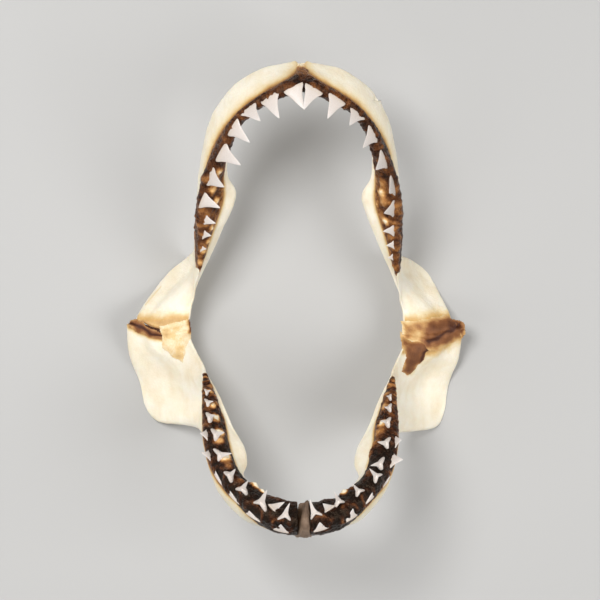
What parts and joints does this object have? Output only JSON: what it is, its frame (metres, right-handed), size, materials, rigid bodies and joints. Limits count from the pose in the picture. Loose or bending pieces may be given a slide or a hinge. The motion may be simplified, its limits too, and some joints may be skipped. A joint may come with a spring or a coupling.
{
  "type": "white shark jaw",
  "caption": "Dried jaw of a white shark, gaping wide, with its triangular upper teeth, narrower lower teeth, dark dried gum and pale cartilage.",
  "frame": {"origin": "on the floor, under the middle of the jaw's outline as it lies on its back", "axes": "+Z the way the animal faces, upwards from the floor; +Y from the lower front teeth to the upper front teeth; +X the animal's left"},
  "size_m": [0.335, 0.448, 0.2191],
  "materials": {
    "cartilage": "dried, bleached cartilage, slightly waxy",
    "gum": "dried, varnished membrane, dark brown to amber",
    "symphysis": "dried grey-brown connective tissue",
    "ligament": "dried ligament, brown to amber",
    "tooth": "off-white enamel over a duller root"
  },
  "bodies": {
    "root": {"palatoquadrate_right": "cartilage", "palatoquadrate_left": "cartilage", "meckel_right": "cartilage", "meckel_left": "cartilage", "upper_gum_right": "gum", "upper_gum_left": "gum", "lower_gum_right": "gum", "lower_gum_left": "gum", "upper_symphysis": "symphysis", "lower_symphysis": "symphysis", "joint_ligament_right": "ligament", "joint_ligament_left": "ligament"}
  },
  "joints": []
}
